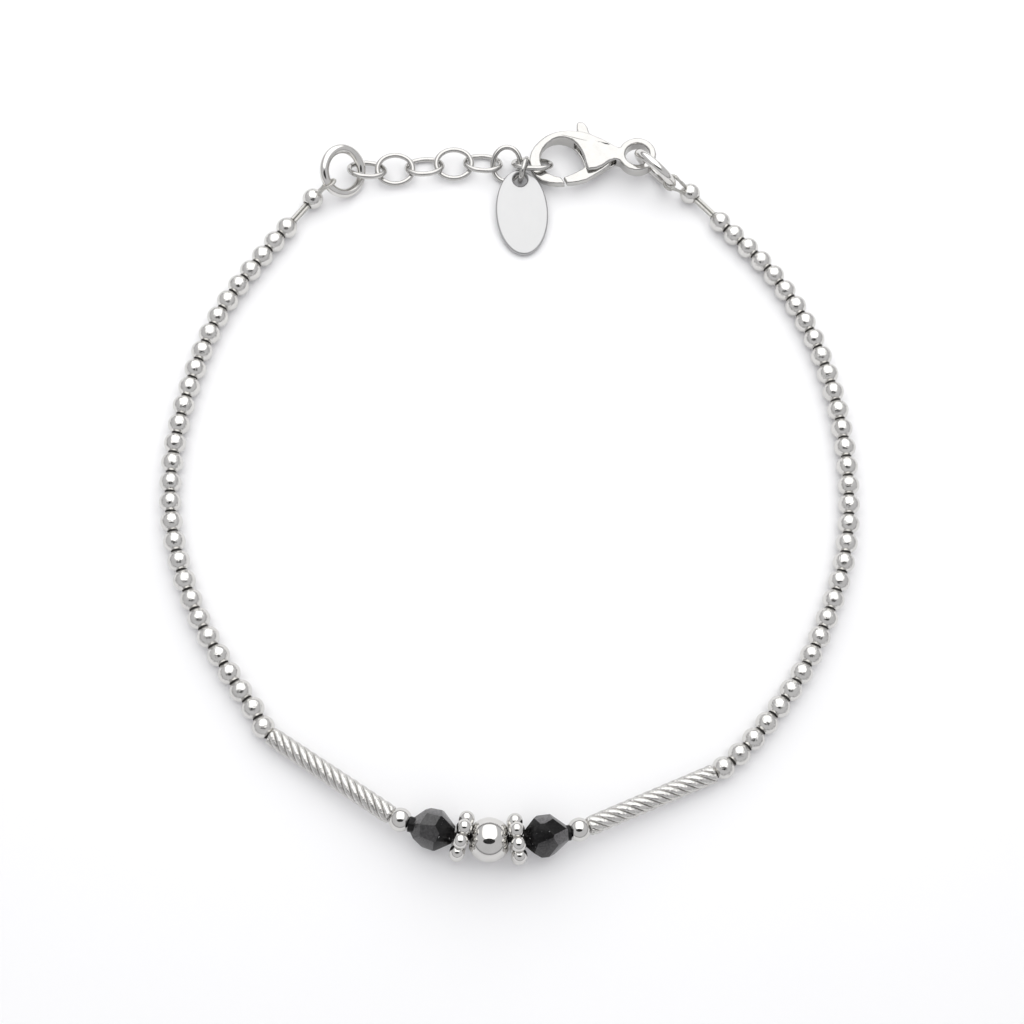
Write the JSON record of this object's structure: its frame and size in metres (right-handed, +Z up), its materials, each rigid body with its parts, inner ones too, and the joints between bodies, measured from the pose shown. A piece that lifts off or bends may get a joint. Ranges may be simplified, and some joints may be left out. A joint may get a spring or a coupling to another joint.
{
  "type": "beaded bracelet",
  "caption": "Beaded silver bracelet lying fastened: small round beads, ribbed tubes, faceted crystals, granule spacers and a large ball, with chain, blank oval tag and lobster clasp.",
  "frame": {"origin": "on the surface that the bracelet lies on, under the middle of its box", "axes": "+Z up, +Y from the large ball towards the clasp and chain, +X to the right as seen from above"},
  "size_m": [0.066, 0.0746, 0.0052],
  "materials": {
    "bead_silver": "polished silver, slightly dulled where the beads meet",
    "centre_silver": "bright polished silver with darkened recesses",
    "ring_silver": "polished silver wire",
    "clasp_silver": "polished cast silver",
    "tag_silver": "satin silver",
    "crystal": "glossy near-black faceted crystal",
    "thread": "pale nylon stringing thread"
  },
  "bodies": {
    "bracelet": {"bead_string_left_1": "bead_silver", "bead_string_left_2": "bead_silver", "bead_string_left_3": "bead_silver", "bead_string_left_4": "bead_silver", "bead_string_left_5": "bead_silver", "bead_string_left_6": "bead_silver", "bead_string_left_7": "bead_silver", "bead_string_right_1": "bead_silver", "bead_string_right_2": "bead_silver", "bead_string_right_3": "bead_silver", "bead_string_right_4": "bead_silver", "bead_string_right_5": "bead_silver", "bead_string_right_6": "bead_silver", "bead_string_right_7": "bead_silver", "bead_string_right_8": "bead_silver", "twisted_tube_left": "centre_silver", "small_round_left": "centre_silver", "crystal_left": "crystal", "daisy_spacer_left": "centre_silver", "silver_ball": "centre_silver", "daisy_spacer_right": "centre_silver", "crystal_right": "crystal", "small_round_right": "centre_silver", "twisted_tube_right": "centre_silver", "centre_thread": "thread", "thread_end_left": "bead_silver", "thread_end_right": "bead_silver", "end_ring": "ring_silver", "link_1": "ring_silver", "link_2": "ring_silver", "link_3": "ring_silver", "link_4": "ring_silver", "link_5": "ring_silver", "link_6": "ring_silver", "link_7": "ring_silver", "tag_ring": "ring_silver", "clasp_ring": "ring_silver", "oval_tag": "tag_silver", "clasp_body": "clasp_silver", "clasp_rivet": "clasp_silver"},
    "clasp_lever": {"clasp_lever": "clasp_silver"}
  },
  "joints": [
    {"name": "lever_hinge", "type": "hinge", "parent": "bracelet", "child": "clasp_lever", "pos_m": [0.009, 0.03331, 0.00176], "axis": [0.091, 0, -0.9959], "range_deg": [0, 15], "stiffness_Nm_per_rad": 0.01, "springref_deg": -11.46}
  ]
}
